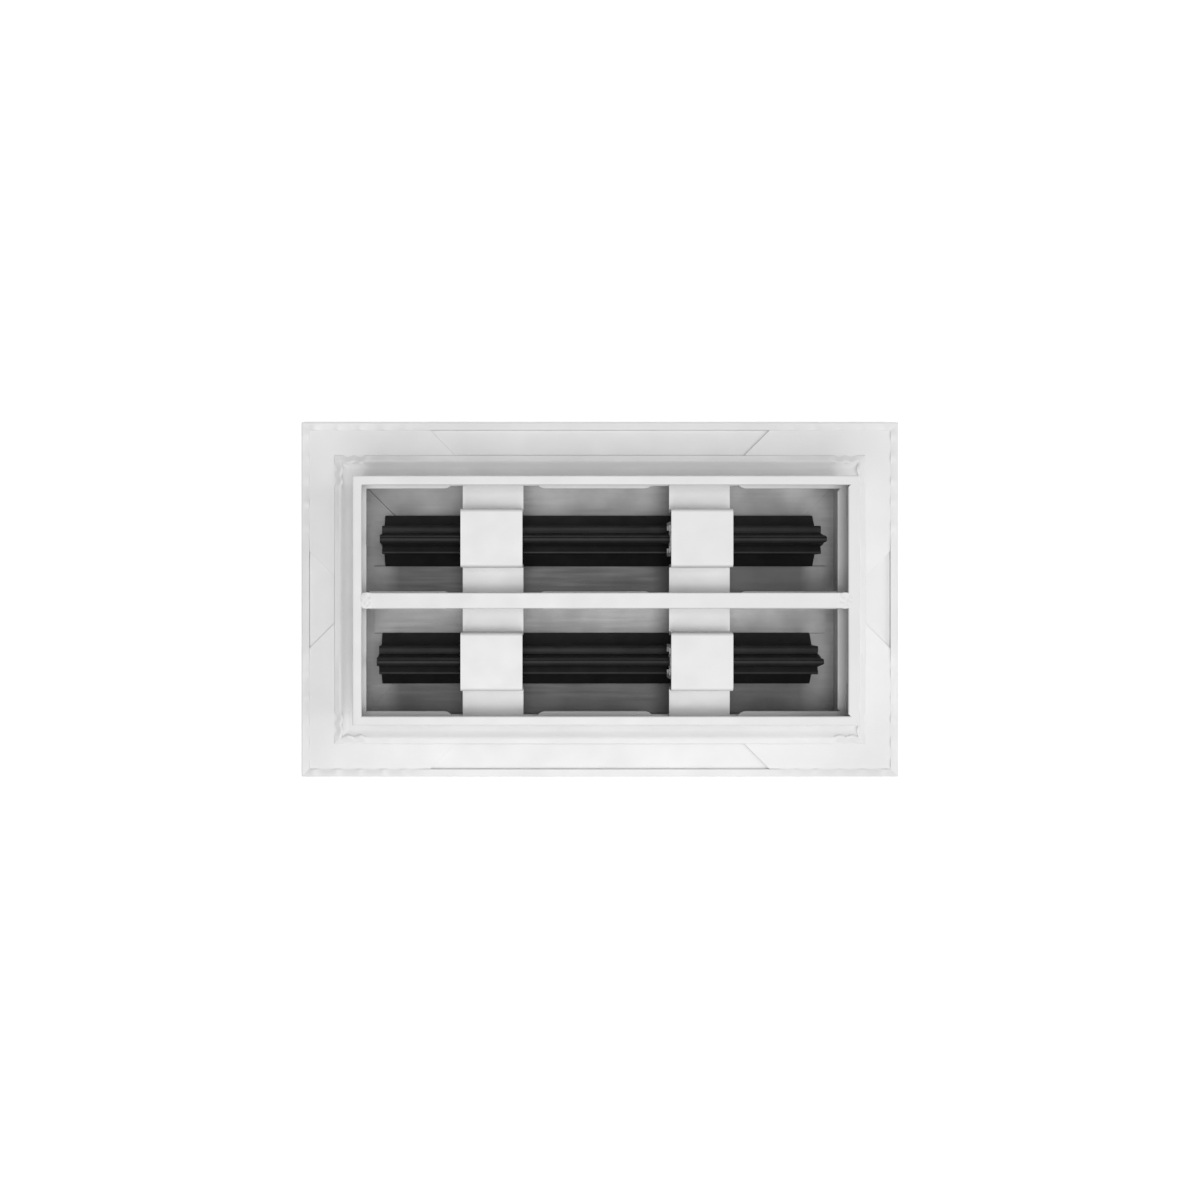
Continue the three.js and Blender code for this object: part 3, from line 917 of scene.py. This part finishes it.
def neck_section(kind, side, shoulder):
    """The thin sheet between a blade's shoulder and its hinge edge."""
    start = BEAD_RADIUS / 2 if kind == "bead" else SOCKET_INSIDE + SOCKET_OVERLAP
    end = BLADE_THICK / 4 - shoulder + SHOULDER_FALL[kind]
    path = [(side * neck_offset(depth), -depth) for depth in (start, end)]
    return sheet_section(path, NECK_THICK, 0.1)


def hinge_section(kind):
    """The round edge that a blade turns on."""
    if kind == "bead":
        return arc(lambda a: BEAD_RADIUS, 0, 350, 35)
    return ring_section(SOCKET_INSIDE, socket_outside, SOCKET_FROM, SOCKET_TO)


def mark_shoulder(bm, kind, middle, top, ends):
    """Cuts a groove along the bead blade's shoulder, or adds a rib along the socket blade's."""
    if kind == "bead":
        groove = small_bar(middle + SHOULDER_GROOVE, top, *GROOVE_SIZE)
        return combine(bm, bar_along_x(groove, [ends[0] - 1, ends[1] + 1]), "DIFFERENCE")
    rib = small_bar(middle - SHOULDER_RIB, top - RIB_SINK, *RIB_SIZE)
    return combine(bm, bar_along_x(rib, ends), "UNION")


def tip_wedge(end_x, middle, flank):
    """Outline of what is cut off one flank of a blade's tip."""
    past_end, tip_start = end_x + 1, end_x - TIP_LENGTH
    points = [(past_end, TIP_START), (past_end, TIP_REACH), (tip_start, TIP_REACH), (tip_start, TIP_STOP)]
    return [(x, middle + flank * across) for x, across in points]


def blade(slot, kind):
    """One blade of a pair, drawn about its hinge line; the bead blade lies towards +Y."""
    node = f"{kind}_blade_{slot}"
    low, high = box_mm(node)
    middle, hinge = hinge_line(slot)
    side = 1 if kind == "bead" else -1
    foot_low, _ = box_mm(f"holder_{slot}_left")
    shoulder = foot_low.z - SHOULDER_GAP - BLADE_THICK / 2 - hinge
    wing_edge = max(abs(low.y - middle), abs(high.y - middle))
    wing_angle = math.atan2(WING_RISE, wing_edge - SHOULDER_REACH)
    tip_across = wing_edge - BLADE_THICK / 2 * math.sin(wing_angle)
    tip_up = low.z - hinge + BLADE_THICK / 2 * math.cos(wing_angle)
    ends = [low.x, high.x]
    wing = wing_section(kind, side, shoulder, (tip_across, tip_up))
    bm = bar_along_x(moved(wing, middle, hinge), ends)
    for outline in (neck_section(kind, side, shoulder), hinge_section(kind)):
        bm = combine(bm, bar_along_x(moved(outline, middle, hinge), ends), "UNION")
    bm = mark_shoulder(bm, kind, middle, hinge + shoulder + BLADE_THICK / 2, ends)
    for flank in (-1, 1):
        tip = plate(tip_wedge(high.x, middle, flank), hinge - TIP_REACH, hinge + TIP_REACH, edge=0)
        bm = combine(bm, tip, "DIFFERENCE")
    return finish_piece(
        bm, f"{node}_extrusion", [blade_coats[kind]], body=node, node=node
    )


for slot_name in SLOTS:
    for kind_name in ("bead", "socket"):
        blade(slot_name, kind_name)

# ---------------------------------------------------------------- floor, light and camera

FLOOR_SIZE = 20.0
FLOOR_GAP = 0.0004    # keeps the floor clear of the room face
WORLD_LIGHT = 0.14

# each softbox: its place, aimed at the part's middle, its size and its power
SOFTBOXES = {
    "key_softbox": ((0, -0.761, 1.631), 1.2, 15.4),
    "top_softbox": ((0, -0.03, 1.8), 0.9, 13.6),
    "side_softbox": ((1.474, 0, 1.032), 0.9, 10.0),
}

# The camera looks straight down, off the part's middle, and its shift brings the part back into the frame.
CAMERA_PLACE = (-0.04065, 0.006, 0.566)
CAMERA_SHIFT = (0.0809, -0.01225)
SENSOR = 36.0
VIEW_WIDTH = 0.5029
VIEW_PLANE = 0.004

floor_bm = bmesh.new()
bmesh.ops.create_grid(floor_bm, x_segments=2, y_segments=2, size=FLOOR_SIZE / 2)
floor = as_object(floor_bm, "floor")
floor.data.materials.append(studio_paper("pale_seamless_paper"))
floor.data.transform(Matrix.Translation((0, 0, cad_low.z - FLOOR_GAP)))


def softbox(name, place, size, power):
    light = bpy.data.lights.new(name, "AREA")
    light.shape = "RECTANGLE"
    light.size, light.size_y, light.energy = size, size, power
    made = bpy.data.objects.new(name, light)
    made.location = place
    made.rotation_mode = "QUATERNION"
    made.rotation_quaternion = (-Vector(place)).to_track_quat("-Z", "Y")
    bpy.context.scene.collection.objects.link(made)
    return made


for softbox_name, (place, size, power) in SOFTBOXES.items():
    softbox(softbox_name, place, size, power)

world = bpy.data.worlds.new("studio")
world.use_nodes = True
backdrop = world.node_tree.nodes["Background"]
backdrop.inputs["Color"].default_value = (1.0, 1.0, 1.0, 1.0)
backdrop.inputs["Strength"].default_value = WORLD_LIGHT
bpy.context.scene.world = world

camera_data = bpy.data.cameras.new("camera")
camera_data.sensor_width = SENSOR
camera_data.lens = SENSOR * (CAMERA_PLACE[2] - VIEW_PLANE) / VIEW_WIDTH
camera_data.shift_x, camera_data.shift_y = CAMERA_SHIFT
camera_data.clip_start, camera_data.clip_end = 0.01, 20
camera = bpy.data.objects.new("camera", camera_data)
camera.location = CAMERA_PLACE
bpy.context.scene.collection.objects.link(camera)
bpy.context.scene.camera = camera
bpy.context.scene.view_settings.view_transform = "Standard"
